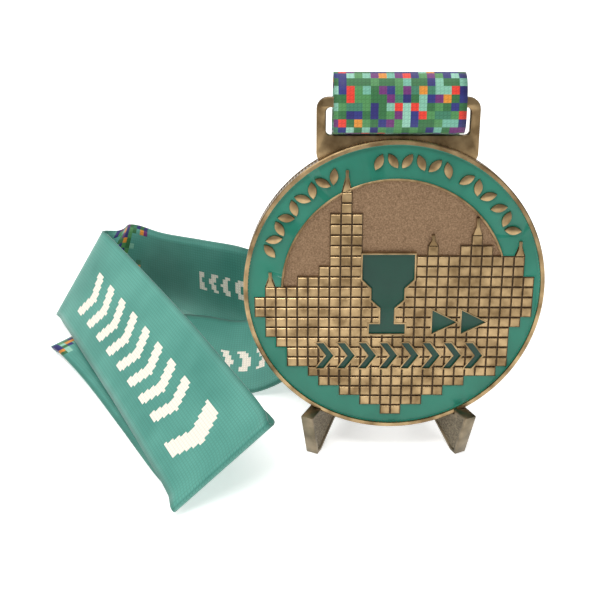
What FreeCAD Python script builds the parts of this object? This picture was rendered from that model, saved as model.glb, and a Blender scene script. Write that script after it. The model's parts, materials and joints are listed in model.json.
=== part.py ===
# Finisher medal, standing on two loose slotted feet with its neck ribbon laid beside it.
# Millimetres, +Z up. The origin is on the table, under the middle of the medal's front face.
# The medal leans back; its own drawing plane is upright, back face at zero depth, front towards the viewer.
import FreeCAD, Part
import math
import os
import Sketcher

doc = FreeCAD.newDocument("FinisherMedal")

# ---------------------------------------------------------------- driving sizes
SIZES = {
    "disc_diameter": 70.0,       # outside of the round casting
    "disc_thickness": 4.5,       # back face to rim top
    "edge_chamfer": 0.25,        # softened corner of the rim
    "rim_width": 1.0,            # flat rim round the enamel
    "lean_angle": 8.0,           # the medal leans back on its feet
    "rim_height": 7.34,          # table to the lowest point of the front rim
    "hanger_width": 36.4,
    "hanger_rise": 9.0,          # hanger top above the top of the disc
    "hanger_thickness": 2.2,
    "hanger_corner": 2.6,
    "bar_height": 2.2,           # top bar that carries the ribbon
    "slot_height": 6.2,
    "slot_corner": 1.0,
    "enamel_floor_depth": 1.2,   # recess floors, all depths below the rim's top
    "enamel_depth": 0.6,         # the ring's enamel fills up to here
    "sky_depth": 1.0,            # sand-blasted field
    "arc_radius": 25.75,         # inside of the thin line between sky and ring
    "arc_line": 0.5,
    "tile_pitch": 2.5,
    "map_depth": 0.2,            # top of the tile field
    "map_row_top": -1.8,         # height of the widest tile row's top edge, from the disc centre
    "mark_floor_depth": 1.0,
    "mark_enamel_depth": 0.45,
    "ribbon_width": 29.0,
    "ribbon_thickness": 0.8,
    "ribbon_side_gap": 1.55,     # slot end to ribbon selvedge
    "stitch_wire": 0.3,          # thread of the lap seam
    "foot_thickness": 3.0,
    "foot_top": 12.2,
    "foot_lean": 3.2,            # the toe recedes this much below its top corner
    "foot_body": 24.0,           # toe tip to heel, on the table
    "foot_pad": 4.5,             # length of the heel pad
    "foot_toe": 2.2,             # length of the toe pad
    "foot_back": 16.5,           # height of the upstand behind the disc
    "foot_back_start": 4.8,      # front of the upstand, behind the toe tip
    "foot_back_end": 13.2,       # back of the upstand's top
    "foot_arch": 4.4,            # clear height under the foot
    "foot_arch_start": 10.1,     # where the arch reaches its height
    "foot_heel_slope": 2.0,      # run of the arch's back slope
    "foot_heel_height": 3.1,
    "foot_splay": 26.0,          # turn of each foot in plan
    "seat_clearance": 0.1,       # disc to foot slot, each way
    "left_toe_out": 18.9,
    "right_toe_out": 17.6,
    "toe_front": 5.4,            # toe tips ahead of the origin
}
sheet = doc.addObject("Spreadsheet::Sheet", "Sizes")
for row, (name, value) in enumerate(SIZES.items(), start=1):
    sheet.set(f"A{row}", name)
    sheet.set(f"B{row}", str(value))
    sheet.setAlias(f"B{row}", name)
doc.recompute()


def size(name):
    """The number in the sheet, for shapes and places worked out in code."""
    return float(sheet.get(name))


def cell(name):
    return f"Sizes.{name}"


def below_rim(name):
    """The level that lies a named depth below the rim's top."""
    return f"(Sizes.disc_thickness - Sizes.{name})"


# ---------------------------------------------------------------- places
LEAN = math.radians(size("lean_angle"))
RADIUS = size("disc_diameter") / 2
CENTRE_UP = size("rim_height") + RADIUS * math.cos(LEAN)
UP = FreeCAD.Vector(0, math.sin(LEAN), math.cos(LEAN))
FRONT = FreeCAD.Vector(0, -math.cos(LEAN), math.sin(LEAN))
FACE_CENTRE = FreeCAD.Vector(0, 0, CENTRE_UP)
BACK_CENTRE = FACE_CENTRE - FRONT * size("disc_thickness")
MEDAL_PLACE = FreeCAD.Placement(BACK_CENTRE, FreeCAD.Rotation(FreeCAD.Vector(1, 0, 0), 90 - size("lean_angle")))
HANGER_TOP = RADIUS + size("hanger_rise")
BAR_CENTRE = BACK_CENTRE + UP * (HANGER_TOP - size("bar_height") / 2) + FRONT * (size("hanger_thickness") / 2)


def origin_plane(body, role):
    return next(item for item in body.Origin.OriginFeatures if item.Role == role)


def outline_sketch(body, name, points, plane="XY_Plane"):
    """A closed outline of straight lines; each corner is held by two expressions or numbers."""
    sketch = body.newObject("Sketcher::SketchObject", name)
    sketch.AttachmentSupport = [(origin_plane(body, plane), "")]
    sketch.MapMode = "FlatFace"
    values = [tuple(number(term) for term in point) for point in points]
    count = len(points)
    for index in range(count):
        here = FreeCAD.Vector(*values[index], 0)
        there = FreeCAD.Vector(*values[(index + 1) % count], 0)
        sketch.addGeometry(Part.LineSegment(here, there), False)
    for index in range(count):
        sketch.addConstraint(Sketcher.Constraint("Coincident", index, 2, (index + 1) % count, 1))
    for index, point in enumerate(points):
        for kind, term, value in zip(("DistanceX", "DistanceY"), point, values[index]):
            spot = sketch.addConstraint(Sketcher.Constraint(kind, -1, 1, index, 1, value))
            if isinstance(term, str):
                sketch.setExpression(f"Constraints[{spot}]", term)
    return sketch


def number(term):
    """The value of a sketch term: a number, or an expression on the sheet."""
    if not isinstance(term, str):
        return float(term)
    return float(sheet.evalExpression(term.replace("Sizes.", "")))


def pad(body, sketch, length, name="Pad"):
    feature = body.newObject("PartDesign::Pad", name)
    feature.Profile = sketch
    feature.setExpression("Length", length)
    sketch.Visibility = False
    return feature


def cylinder(name, radius, bottom, top):
    """An upright round tool in the medal's own frame, from one level to another."""
    tool = doc.addObject("Part::Cylinder", name)
    tool.setExpression("Radius", radius)
    tool.setExpression("Height", f"({top}) - ({bottom})")
    tool.setExpression("Placement.Base.z", bottom)
    return tool


def combine(kind, name, base, tool):
    result = doc.addObject(kind, name)
    result.Base = base
    result.Tool = tool
    return result


def fuse_all(name, shapes):
    result = doc.addObject("Part::MultiFuse", name)
    result.Shapes = shapes
    return result


subparts = {}


def add_subpart(label, item, place=None):
    item.Label = label
    if place is not None:
        item.Placement = place
    subparts[label] = item


# ---------------------------------------------------------------- tile field outline
# Tiles set in from the field's left and right edge, row by row down from the widest row.
TILE_COLUMNS = 26
LEFT_STEPS = (0, 0, 1, 1, 2, 3, 3, 5, 6, 8, 10, 12)
RIGHT_STEPS = (0, 0, 1, 2, 2, 2, 2, 3, 6, 8, 10, 12)
# Skyline above the widest row: (tile columns, height in tiles, roof height in tiles or 0).
SKYLINE = (
    (1, 0, 0), (1, 1, 1.4), (2, 1, 0), (2, 2, 0), (1, 3, 0), (1, 8, 0), (1, 10, 2.0), (1, 8, 0),
    (6, 4, 0), (1, 5, 1.0), (2, 4, 0), (1, 5, 0), (1, 6, 1.6), (1, 5, 0), (2, 4, 0), (1, 4, 1.4), (1, 2, 0),
)


def tile_x(column):
    return f"Sizes.tile_pitch * {column - TILE_COLUMNS / 2}"


def tile_y(rows_up):
    return f"Sizes.map_row_top + Sizes.tile_pitch * {rows_up}"


def field_outline():
    """Corners of the tile field, anticlockwise from its top left."""
    corners = []
    rows = len(LEFT_STEPS)
    for row in range(rows):
        if row == 0 or LEFT_STEPS[row] != LEFT_STEPS[row - 1]:
            if row:
                corners.append((tile_x(LEFT_STEPS[row - 1]), tile_y(-row)))
                corners.append((tile_x(LEFT_STEPS[row]), tile_y(-row)))
    corners.append((tile_x(LEFT_STEPS[-1]), tile_y(-rows)))
    corners.append((tile_x(TILE_COLUMNS - RIGHT_STEPS[-1]), tile_y(-rows)))
    for row in reversed(range(1, rows)):
        if RIGHT_STEPS[row] != RIGHT_STEPS[row - 1]:
            corners.append((tile_x(TILE_COLUMNS - RIGHT_STEPS[row]), tile_y(-row)))
            corners.append((tile_x(TILE_COLUMNS - RIGHT_STEPS[row - 1]), tile_y(-row)))
    column = TILE_COLUMNS
    height = 0
    for width, top, roof in reversed(SKYLINE):
        if top != height or column == TILE_COLUMNS:
            if column != TILE_COLUMNS:
                corners.append((tile_x(column), tile_y(height)))
            corners.append((tile_x(column), tile_y(top)))
        if roof:
            corners.append((tile_x(column - width / 2), tile_y(top + roof)))
            corners.append((tile_x(column - width), tile_y(top)))
        column -= width
        height = top
    corners.append((tile_x(0), tile_y(height)))
    return clean(corners)


def clean(corners):
    """Drop a corner that repeats the one before it."""
    kept = []
    for corner in corners:
        if not kept or kept[-1] != corner:
            kept.append(corner)
    if kept[0] == kept[-1]:
        kept.pop()
    return kept


def prism(name, corners, bottom, top):
    """A straight-sided block in the medal's own frame."""
    body = doc.addObject("PartDesign::Body", name)
    sketch = outline_sketch(body, name + "Outline", corners)
    pad(body, sketch, f"({top}) - ({bottom})", name + "Pad")
    body.setExpression("Placement.Base.z", bottom)
    return body


# ---------------------------------------------------------------- medal casting
# One zinc die casting: the round disc, its rim, and the slotted hanger plate, flush at the back.
OVER = "(Sizes.disc_thickness + 2)"
disc = cylinder("DiscBlank", "Sizes.disc_diameter / 2", "0", cell("disc_thickness"))
doc.recompute()
disc_soft = doc.addObject("Part::Chamfer", "DiscSoft")
disc_soft.Base = disc
chamfer = size("edge_chamfer")
disc_soft.Edges = [
    (index, chamfer, chamfer)
    for index, edge in enumerate(disc.Shape.Edges, start=1)
    if edge.Curve.TypeId == "Part::GeomCircle"
]

hanger_body = doc.addObject("PartDesign::Body", "HangerPlate")
half = "Sizes.hanger_width / 2"
plate_top = "Sizes.disc_diameter / 2 + Sizes.hanger_rise"
plate_foot = "Sizes.disc_diameter / 4"
plate_sketch = outline_sketch(hanger_body, "PlateOutline", [
    (f"-({half})", plate_foot), (half, plate_foot), (half, plate_top), (f"-({half})", plate_top)])
plate_pad = pad(hanger_body, plate_sketch, cell("hanger_thickness"), "PlatePad")
doc.recompute()


def upright_edges(shape, above):
    """Names of the edges along the depth that lie above a height."""
    names = []
    for index, edge in enumerate(shape.Edges, start=1):
        first, last = (vertex.Point for vertex in edge.Vertexes[:2]) if len(edge.Vertexes) > 1 else (None, None)
        if first is not None and abs(first.z - last.z) > 1 and min(first.y, last.y) > above:
            names.append(f"Edge{index}")
    return names


corner_round = hanger_body.newObject("PartDesign::Fillet", "PlateCorners")
corner_round.Base = (plate_pad, upright_edges(plate_pad.Shape, RADIUS))
corner_round.setExpression("Radius", cell("hanger_corner"))
doc.recompute()
hanger_body.Tip = corner_round

slot_body = doc.addObject("PartDesign::Body", "SlotTool")
slot_half = "(Sizes.ribbon_width / 2 + Sizes.ribbon_side_gap)"
slot_top = f"{plate_top} - Sizes.bar_height"
slot_foot = f"{slot_top} - Sizes.slot_height"
slot_sketch = outline_sketch(slot_body, "SlotOutline", [
    (f"-{slot_half}", slot_foot), (slot_half, slot_foot), (slot_half, slot_top), (f"-{slot_half}", slot_top)])
slot_pad = pad(slot_body, slot_sketch, OVER, "SlotPad")
doc.recompute()
slot_round = slot_body.newObject("PartDesign::Fillet", "SlotCorners")
slot_round.Base = (slot_pad, upright_edges(slot_pad.Shape, 0))
slot_round.setExpression("Radius", cell("slot_corner"))
slot_body.Tip = slot_round
slot_body.setExpression("Placement.Base.z", "-1")
doc.recompute()

blank = fuse_all("MedalBlank", [disc_soft, hanger_body])
slotted = combine("Part::Cut", "MedalSlotted", blank, slot_body)

# The field of tiles, the sky inside the arc above it, and the enamel ring and sea round both.
well_radius = "Sizes.disc_diameter / 2 - Sizes.rim_width"
outline = field_outline()
field_block = prism("FieldBlock", outline, "0", OVER)
reach = "Sizes.disc_diameter"
half_foot = "Sizes.map_row_top - Sizes.tile_pitch / 2"
half_plane = [(f"-({reach})", half_foot), (reach, half_foot), (reach, reach), (f"-({reach})", reach)]
upper_half = prism("UpperHalf", half_plane, "0", OVER)

sky_round = cylinder("SkyRound", cell("arc_radius"), below_rim("sky_depth"), OVER)
sky_upper = combine("Part::Common", "SkyUpper", sky_round, upper_half)
sky_tool = combine("Part::Cut", "SkyTool", sky_upper, field_block)

guard_round = cylinder("GuardRound", "Sizes.arc_radius + Sizes.arc_line", "0", OVER)
guard_upper = combine("Part::Common", "GuardUpper", guard_round, upper_half)
kept_land = fuse_all("KeptLand", [guard_upper, field_block])


def pool_shape(name, top):
    """What lies between the rim and the kept land, from the recess floor to a level."""
    disc_tool = cylinder(name + "Round", well_radius, below_rim("enamel_floor_depth"), top)
    return combine("Part::Cut", name, disc_tool, kept_land)


pool_tool = pool_shape("PoolTool", OVER)
pool_fill = pool_shape("PoolFill", below_rim("enamel_depth"))

# Recesses in the tile field: a cup, two pennants and a row of chevrons, all filled with dark enamel.
CUP = (
    (-1.4, -10.8), (2.8, -10.8), (2.8, -8.4), (0.2, -8.4), (0.2, -4.4), (2.4, -2.4), (2.4, 0.4),
    (4.6, 2.6), (4.6, 8.6), (-7.4, 8.6), (-7.4, 2.6), (-5.2, 0.4), (-5.2, -2.4), (-3.0, -4.4),
    (-3.0, -8.4), (-5.6, -8.4), (-5.6, -10.8),
)
MARK_ROW = {"left": -18.0, "count": 8, "pitch": 5.05, "foot": -19.6, "top": -13.2, "width": 4.1, "limb": 1.7}
PENNANTS = {"left": 9.2, "count": 2, "pitch": 6.9, "foot": -10.8, "top": -5.0, "width": 5.7}


def chevron(left, row):
    """A pointed band that runs towards the right."""
    middle = (row["foot"] + row["top"]) / 2
    point = left + row["width"]
    return [(left, row["foot"]), (left + row["limb"], row["foot"]), (point, middle),
            (left + row["limb"], row["top"]), (left, row["top"]), (point - row["limb"], middle)]


def pennant(left, row):
    """A small triangular flag."""
    return [(left, row["foot"]), (left + row["width"], (row["foot"] + row["top"]) / 2), (left, row["top"])]


def row_corners(shape, row):
    return [shape(row["left"] + row["pitch"] * index, row) for index in range(row["count"])]


def mark_group(name, outlines):
    """The recess tool and the enamel fill of a group of marks."""
    tools = [prism(f"{name}Tool{index}", corners, below_rim("mark_floor_depth"), OVER)
             for index, corners in enumerate(outlines, start=1)]
    fills = [prism(f"{name}Fill{index}", corners, below_rim("mark_floor_depth"), below_rim("mark_enamel_depth"))
             for index, corners in enumerate(outlines, start=1)]
    return tools, fills


cup_tools, cup_fills = mark_group("Cup", [CUP])
pennant_tools, pennant_fills = mark_group("Pennant", row_corners(pennant, PENNANTS))
chevron_tools, chevron_fills = mark_group("Chevron", row_corners(chevron, MARK_ROW))

# The tile field stands just under the rim.
field_over = prism("FieldOver", outline, below_rim("map_depth"), OVER)
guard_over = cylinder("GuardOverRound", "Sizes.arc_radius + Sizes.arc_line", below_rim("map_depth"), OVER)
arc_upper = combine("Part::Common", "ArcUpper", guard_over, upper_half)
arc_over = combine("Part::Cut", "ArcOver", arc_upper, field_block)
mark_tools = cup_tools + pennant_tools + chevron_tools
recesses = fuse_all("Recesses", [sky_tool, pool_tool, field_over, arc_over] + mark_tools)
casting = combine("Part::Cut", "Casting", slotted, recesses)
add_subpart("medal_casting", casting, MEDAL_PLACE)

# ---------------------------------------------------------------- enamel
add_subpart("enamel_ring_sea", pool_fill, MEDAL_PLACE)


def compound(name, items):
    group = doc.addObject("Part::Compound", name)
    group.Links = items
    return group


add_subpart("enamel_cup", compound("EnamelCup", cup_fills), MEDAL_PLACE)
add_subpart("enamel_pennants", compound("EnamelPennants", pennant_fills), MEDAL_PLACE)
add_subpart("enamel_chevron_row", compound("EnamelChevrons", chevron_fills), MEDAL_PLACE)

# ---------------------------------------------------------------- feet
# Two cast feet. Each is an upright plate, splayed in plan, with a notch that takes the disc's edge,
# a low toe in front, an upstand behind the disc, and an arch between the toe pad and the heel pad.
FOOT_PROFILE = [
    ("0", "0"), (cell("foot_toe"), "0"), (cell("foot_arch_start"), cell("foot_arch")),
    ("Sizes.foot_body - Sizes.foot_pad - Sizes.foot_heel_slope", cell("foot_arch")),
    ("Sizes.foot_body - Sizes.foot_pad", "0"), (cell("foot_body"), "0"),
    (cell("foot_body"), cell("foot_heel_height")), (cell("foot_back_end"), cell("foot_back")),
    (cell("foot_back_start"), cell("foot_back")), (cell("foot_back_start"), cell("foot_top")),
    ("-Sizes.foot_lean", cell("foot_top")),
]


def foot(side, toe_out, label):
    """side is -1 on the left and +1 on the right."""
    splay = size("foot_splay")
    # The profile's length runs backwards and inwards; its height is upright.
    turn = FreeCAD.Rotation(FreeCAD.Vector(0, 0, 1), 90 + side * splay)
    stand_up = FreeCAD.Rotation(FreeCAD.Vector(1, 0, 0), 90)
    toe = FreeCAD.Vector(side * toe_out, -size("toe_front"), 0)
    place = FreeCAD.Placement(toe, turn.multiply(stand_up))
    body = doc.addObject("PartDesign::Body", label + "_plate")
    profile = outline_sketch(body, label + "_profile", FOOT_PROFILE)
    plate = pad(body, profile, cell("foot_thickness"), label + "_pad")
    plate.Midplane = True
    body.Placement = place
    # The notch is the disc itself, grown by the seat clearance, where it stands.
    notch = doc.addObject("Part::Cylinder", label + "_notch")
    notch.setExpression("Radius", "Sizes.disc_diameter / 2 + Sizes.seat_clearance")
    notch.setExpression("Height", "Sizes.disc_thickness + 2 * Sizes.seat_clearance")
    notch.Placement = FreeCAD.Placement(BACK_CENTRE - FRONT * size("seat_clearance"), MEDAL_PLACE.Rotation)
    add_subpart(label, combine("Part::Cut", label + "_cut", body, notch))


foot(-1, size("left_toe_out"), "foot_left")
foot(1, size("right_toe_out"), "foot_right")

# ---------------------------------------------------------------- neck ribbon
# One band of printed webbing. It runs from its lap seam behind the hanger down to the table, stands
# on edge to the left, turns round a soft fold, comes forward as the front panel, turns under at the
# neck fold, runs back, folds again, lies along the table, climbs behind the disc, passes through the
# slot, goes over the bar and ends on its own start, where the lap is sewn.
# Each station is the lower or nearer selvedge and the way across the band to the other one.
WIDTH = size("ribbon_width")
SHEET = size("ribbon_thickness")
LAP_GAP = 0.2
ROUTE = [
    ((14.5, 19.6, 55), (-0.98, 0.2, 0)), ((13.5, 22, 44), (-0.8, 0.6, 0)), ((11.5, 24.5, 32), (-0.42, 0.91, 0)),
    ((9.5, 26.5, 20), (-0.1, 0.99, 0)), ((7.5, 28, 10), (0, 1, 0)), ((3, 29.5, 3.6), (0, 1, 0.02)),
    ((-6, 31.5, 1.2), (0, 1, 0.08)), ((-18, 38, 1.0), (0, 24, 16.2)),
    ((-37.3, 51.5, 0.9), (0, -0.5, 29)), ((-50, 60, 0.9), (0.5, -3, 29)), ((-64, 69.5, 0.9), (1.5, -6, 28.4)),
    ((-82, 71.5, 0.9), (9, 1, 27.2)), ((-91.5, 68.0, 1.0), (14.5, 10, 23.7)),
    ((-96, 62.5, 3.0), (14.5, 13, 22.8)), ((-93.5, 56.5, 4.2), (14, 12.5, 22.9)),
    ((-84, 38, 4.4), (15.6, 12, 21.9)), ((-70, 11, 4.1), (18, 11, 20.2)),
    ((-57, -15, 3.6), (20.4, 10, 18.2)), ((-51.5, -26.5, 3.3), (21.6, 9.6, 17.1)),
    ((-50.3, -30.3, 2.1), (21.7, 10, 16.6)), ((-50.0, -25.8, 1.0), (21.8, 9.6, 16.0)),
    ((-57.5, -13.4, 0.9), (23, 11.5, 12.6)), ((-68, 4.6, 1.2), (24.6, 14, 7.2)),
    ((-80, 24, 2.2), (25, 15, 3.6)), ((-90.3, 38.6, 3.0), (22, 21.5, 1.8)),
    ((-93.9, 43.5, 2.0), (20.6, 24.1, 0.5)), ((-92.0, 43.0, 0.8), (20.5, 24.2, 0)),
    ((-84, 39.5, 0.8), (15, 26, 0.6)), ((-72, 34.5, 0.8), (10, 27.5, 2.5)),
    ((-56, 27.5, 0.8), (5.5, 28, 4.9)), ((-37.5, 20.5, 0.9), (0.2, 28, 7)), ((-26.5, 20.2, 5.0), (0.5, 27, 10)),
    ((-16, 18.9, 16), (-1, 29, 3)), ((-8, 16.5, 28), (-0.42, 0.9, 0)), ((1, 14.9, 40), (-0.76, 0.65, 0)),
    ((9, 14.3, 52), (-0.95, 0.31, 0)), ((14, 14.3, 63), (-1, 0.03, 0)),
]
# Round the bar from behind: forward of the bar's middle and above the slot's lower edge while the
# band lies in the slot and at its lap, then above the bar's middle while it goes over the bar.
THROUGH_SLOT = [(-7.4, -2.7), (-4.8, -0.5), (-1.6, 0.7), (1.4, 0.85), (3.1, 1.5)]
OVER_BAR = [
    (4.2, -4.0), (4.3, -1.0), (4.1, 2.2), (3.0, 4.8), (0.6, 6.1), (-1.9, 5.7), (-3.9, 3.4), (-5.1, 0.2)]
LAP = [(-9.6, -4.7), (-11.2, -9.2)]
BELOW_LAP = (-12.0, -14.7)


def across(forward, above, level, outward=0.0):
    """A station across the hanger, above a level that is measured down from the bar's middle."""
    middle = BAR_CENTRE + FRONT * (forward - outward) + UP * (above - level)
    return middle + FreeCAD.Vector(WIDTH / 2, 0, 0), FreeCAD.Vector(-1, 0, 0)


SLOT_EDGE = size("bar_height") / 2 + size("slot_height")
LAP_STEP = SHEET + LAP_GAP
stations = [across(*spot, SLOT_EDGE) for spot in LAP + [BELOW_LAP]]
stations += [(FreeCAD.Vector(*near), FreeCAD.Vector(*way)) for near, way in ROUTE]
stations += [across(*spot, SLOT_EDGE) for spot in THROUGH_SLOT]
stations += [across(*spot, 0) for spot in OVER_BAR]
stations += [across(*spot, SLOT_EDGE, LAP_STEP) for spot in LAP]


STEPS = 4
CURVE_SHARE = 0.5


def smooth(points):
    """Points along a curve through every given point, evenly stepped between each two."""
    line = []
    last = len(points) - 1
    for index in range(last):
        before = points[max(index - 1, 0)]
        first, second = points[index], points[index + 1]
        after = points[min(index + 2, last)]
        span = (second - first).Length
        reach_out, reach_in = max((second - before).Length, span), max((after - first).Length, span)
        out = (second - before) * (2 * CURVE_SHARE * span / reach_out)
        into = (after - first) * (2 * CURVE_SHARE * span / reach_in)
        for step in range(STEPS):
            t = step / STEPS
            ends = first * (2 * t ** 3 - 3 * t ** 2 + 1) + second * (3 * t ** 2 - 2 * t ** 3)
            line.append(ends + out * (t ** 3 - 2 * t ** 2 + t) + into * (t ** 3 - t ** 2))
    line.append(points[last])
    return line


near_line = smooth([near for near, way in stations])
far_line = smooth([near + FreeCAD.Vector(way).normalize() * WIDTH for near, way in stations])


def band_sections(near_edge, far_edge, thickness):
    """The four corners of the band's thin section at every step along it."""
    sections = []
    last = len(near_edge) - 1
    for index in range(last + 1):
        near, far = near_edge[index], far_edge[index]
        before, after = max(index - 1, 0), min(index + 1, last)
        run = (near_edge[after] + far_edge[after]) - (near_edge[before] + far_edge[before])
        lift = run.cross(far - near).normalize() * (thickness / 2)
        sections.append([near - lift, far - lift, far + lift, near + lift])
    return sections


def band_solid(sections):
    """A closed solid of flat facets through the sections, with a face at each end."""
    def facet(*corners):
        return Part.Face(Part.makePolygon(list(corners) + [corners[0]]))

    faces = [facet(*sections[0]), facet(*sections[-1])]
    for here, there in zip(sections, sections[1:]):
        # Both broad faces are folded along the same diagonal, so that the band keeps its thickness.
        for first, second in ((0, 1), (1, 2), (3, 2), (0, 3)):
            faces.append(facet(here[first], here[second], there[second]))
            faces.append(facet(here[first], there[second], there[first]))
    shell = Part.makeShell(faces)
    shell.sewShape()
    solid = Part.makeSolid(Part.Shell(shell.Faces))
    if solid.Volume < 0:
        solid.reverse()
    return solid


ribbon = doc.addObject("Part::Feature", "Ribbon")
ribbon.Shape = band_solid(band_sections(near_line, far_line, SHEET))
add_subpart("ribbon_band", ribbon)
length = sum(((near_line[i + 1] + far_line[i + 1]) - (near_line[i] + far_line[i])).Length / 2
             for i in range(len(near_line) - 1))
print("ribbon length", round(length, 1), "volume", round(ribbon.Shape.Volume, 1),
      "section x length", round(length * WIDTH * SHEET, 1), "valid", ribbon.Shape.isValid())

# ---------------------------------------------------------------- lap seam
# Two rows of thread lie on the outer face of the lap and hold its two plies.
STITCH_ROWS = (0.3, 0.8)
STITCH_COUNT = 9
STITCH_SHARE = 0.62
thread = size("stitch_wire")
thread_step = LAP_STEP + SHEET / 2 + thread / 2 + LAP_GAP
high, low = (across(*spot, SLOT_EDGE, thread_step)[0] for spot in LAP)
along_seam = FreeCAD.Rotation(FreeCAD.Vector(0, 0, 1), FreeCAD.Vector(-1, 0, 0))
stitches = []
for row_index, share in enumerate(STITCH_ROWS, start=1):
    row_end = high + (low - high) * share
    pitch = WIDTH / STITCH_COUNT
    for index in range(STITCH_COUNT):
        stitch = doc.addObject("Part::Cylinder", f"Stitch{row_index}_{index + 1}")
        stitch.setExpression("Radius", "Sizes.stitch_wire / 2")
        stitch.Height = pitch * STITCH_SHARE
        begin = row_end - FreeCAD.Vector(pitch * (index + (1 - STITCH_SHARE) / 2), 0, 0)
        stitch.Placement = FreeCAD.Placement(begin, along_seam)
        stitches.append(stitch)
add_subpart("ribbon_stitching", compound("LapStitching", stitches))

# ---------------------------------------------------------------- check and write
doc.recompute()
for item in doc.Objects:
    if "Invalid" in item.State or "Error" in item.State:
        raise RuntimeError(f"{item.Name} failed: {item.State}")
os.makedirs("parts", exist_ok=True)
for label, item in subparts.items():
    shape = item.Shape
    if shape.isNull() or not shape.isValid() or not shape.Solids:
        raise RuntimeError(f"{label} has no valid shape")
    box = shape.BoundBox
    print(label, len(shape.Solids), "solids", round(shape.Volume, 1), "mm3",
          [round(v, 1) for v in (box.XMin, box.YMin, box.ZMin, box.XMax, box.YMax, box.ZMax)])
    shape.exportStep(f"parts/{label}.step")
print("bar centre", BAR_CENTRE)
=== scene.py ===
# A running-event finisher medal: a bronze-plated die casting with soft enamel, leaning back on two
# loose cast feet, with its printed neck ribbon looped through the hanger and laid down beside it.
import bpy
import json
import math
from mathutils import Matrix, Vector


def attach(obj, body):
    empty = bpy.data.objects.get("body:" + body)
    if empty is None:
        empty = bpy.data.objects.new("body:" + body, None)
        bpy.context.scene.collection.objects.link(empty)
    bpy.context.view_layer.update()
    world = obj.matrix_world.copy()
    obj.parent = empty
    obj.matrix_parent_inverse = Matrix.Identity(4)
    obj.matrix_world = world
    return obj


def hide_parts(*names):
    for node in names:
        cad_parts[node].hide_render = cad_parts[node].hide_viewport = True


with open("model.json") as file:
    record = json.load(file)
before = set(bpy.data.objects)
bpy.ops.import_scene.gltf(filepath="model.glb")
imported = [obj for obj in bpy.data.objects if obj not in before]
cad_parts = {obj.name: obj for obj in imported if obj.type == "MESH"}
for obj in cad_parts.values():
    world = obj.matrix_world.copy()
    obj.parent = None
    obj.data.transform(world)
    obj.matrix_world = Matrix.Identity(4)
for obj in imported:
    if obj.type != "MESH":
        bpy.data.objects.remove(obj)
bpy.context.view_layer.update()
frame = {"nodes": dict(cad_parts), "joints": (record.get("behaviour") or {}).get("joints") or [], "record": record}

# ------------------------------------------------------------------ view, floor and light
# The medal is looked at from a little above, as it stands on a pale studio table. The light is soft:
# a wide panel above and behind, a small key panel in front, a strip at the left, and a pale room.
MM = 0.001
LOOK_DOWN = 27.0
EYE = Vector((-21.84, -205.93, 144.45)) * MM

bpy.context.scene.view_settings.view_transform = "Standard"
camera_data = bpy.data.cameras.new("view_camera")
camera_data.sensor_width = 36.0
camera_data.lens = 59.4
camera_data.clip_start = 0.01
camera = bpy.data.objects.new("view_camera", camera_data)
camera.location = EYE
camera.rotation_euler = (math.radians(90 - LOOK_DOWN), 0, 0)
bpy.context.scene.collection.objects.link(camera)
bpy.context.scene.camera = camera


def colour(hex_text):
    """An sRGB hex colour as the linear value that a shader takes."""
    channels = [int(hex_text[start:start + 2], 16) / 255 for start in (0, 2, 4)]
    linear = [c / 12.92 if c <= 0.04045 else ((c + 0.055) / 1.055) ** 2.4 for c in channels]
    return (*linear, 1.0)


def add_node(tree, kind, inputs=(), **settings):
    """One node with its settings; inputs gives each socket a value or another node's output."""
    new = tree.nodes.new(kind)
    for name, value in settings.items():
        setattr(new, name, value)
    for socket, value in dict(inputs).items():
        if isinstance(value, bpy.types.NodeSocket):
            tree.links.new(value, new.inputs[socket])
        else:
            new.inputs[socket].default_value = value
    return new


def new_material(name):
    """An empty material with its shader and output: (material, tree, shader)."""
    material = bpy.data.materials.new(name)
    material.use_nodes = True
    tree = material.node_tree
    tree.nodes.clear()
    shader = add_node(tree, "ShaderNodeBsdfPrincipled")
    add_node(tree, "ShaderNodeOutputMaterial", {"Surface": shader.outputs[0]})
    return material, tree, shader


def clear_selection():
    for item in bpy.context.selected_objects:
        item.select_set(False)


def area_light(name, place, aim, size, power):
    light = bpy.data.lights.new(name, "AREA")
    light.shape = "RECTANGLE"
    light.size, light.size_y = size
    light.energy = power
    lamp = bpy.data.objects.new(name, light)
    lamp.location = place
    lamp.rotation_euler = (Vector(aim) - Vector(place)).to_track_quat("-Z", "Y").to_euler()
    bpy.context.scene.collection.objects.link(lamp)


area_light("top_panel", (-0.15, 0.25, 0.90), (0.0, 0.05, 0.0), (1.4, 1.2), 9.0)
area_light("key_panel", (-0.14, -0.27, 0.60), (0.0, 0.0, 0.04), (0.30, 0.16), 1.8)
area_light("left_strip", (-0.60, -0.30, 0.30), (0.0, 0.0, 0.05), (0.15, 0.5), 0.7)

world = bpy.data.worlds.new("pale_room")
world.use_nodes = True
background = world.node_tree.nodes["Background"]
background.inputs["Color"].default_value = colour("F8F8F8")
# The room is seen at full strength, and lights the medal at less than half of it.
light_path = add_node(world.node_tree, "ShaderNodeLightPath")
strength = add_node(world.node_tree, "ShaderNodeMapRange",
                    {"Value": light_path.outputs["Is Camera Ray"], "To Min": 0.38, "To Max": 1.05})
world.node_tree.links.new(strength.outputs["Result"], background.inputs["Strength"])
bpy.context.scene.world = world

clear_selection()
bpy.ops.mesh.primitive_plane_add(size=6.0, location=(0, 0, 0))
floor = bpy.context.object
floor.name = "studio_table"
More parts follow.
